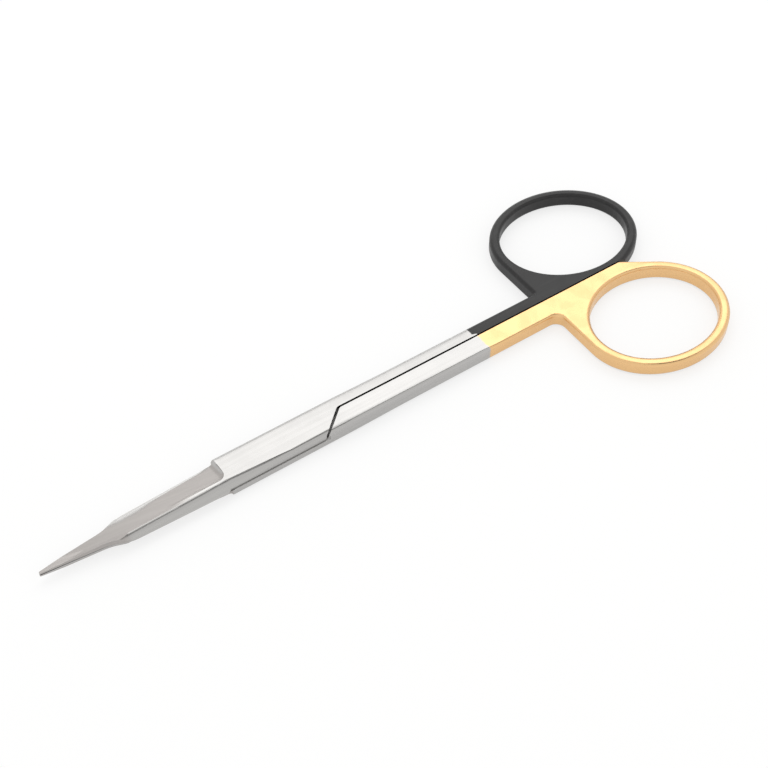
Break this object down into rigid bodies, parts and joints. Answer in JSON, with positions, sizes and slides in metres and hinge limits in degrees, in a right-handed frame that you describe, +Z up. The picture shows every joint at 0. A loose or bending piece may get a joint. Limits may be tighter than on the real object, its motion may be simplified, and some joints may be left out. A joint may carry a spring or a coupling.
{
  "type": "surgical scissors",
  "caption": "Fine straight surgical scissors with sharp points, a screwed lap joint, and finger rings, one coated black and one gold.",
  "frame": {"origin": "centre of the bounding box of the closed scissors, in the plane that they lie on", "axes": "+X from the tips towards the finger rings, +Y towards the black ring, +Z up out of the face with the black half's blade on top, along the pivot axis"},
  "size_m": [0.1152, 0.0444, 0.0027],
  "materials": {
    "black_half_steel": "satin stainless steel, polished on the joint and shank, with a smooth black coat on the finger ring and the end of its shank",
    "gold_half_steel": "satin stainless steel, polished on the shank, with a thin gold plating on the finger ring and the end of its shank",
    "screw_steel": "turned stainless steel, polished head",
    "carbide": "fine ground tungsten carbide, slightly darker than the steel"
  },
  "bodies": {
    "black_half": {"black_ring_half": "black_half_steel", "pivot_screw": "screw_steel", "black_edge_insert": "carbide"},
    "gold_half": {"gold_ring_half": "gold_half_steel", "gold_edge_insert": "carbide"}
  },
  "joints": [
    {"name": "pivot", "type": "hinge", "parent": "black_half", "child": "gold_half", "pos_m": [-0.01917, 0, 0.00137], "axis": [0, 0, -1], "range_deg": [0, 60]}
  ]
}
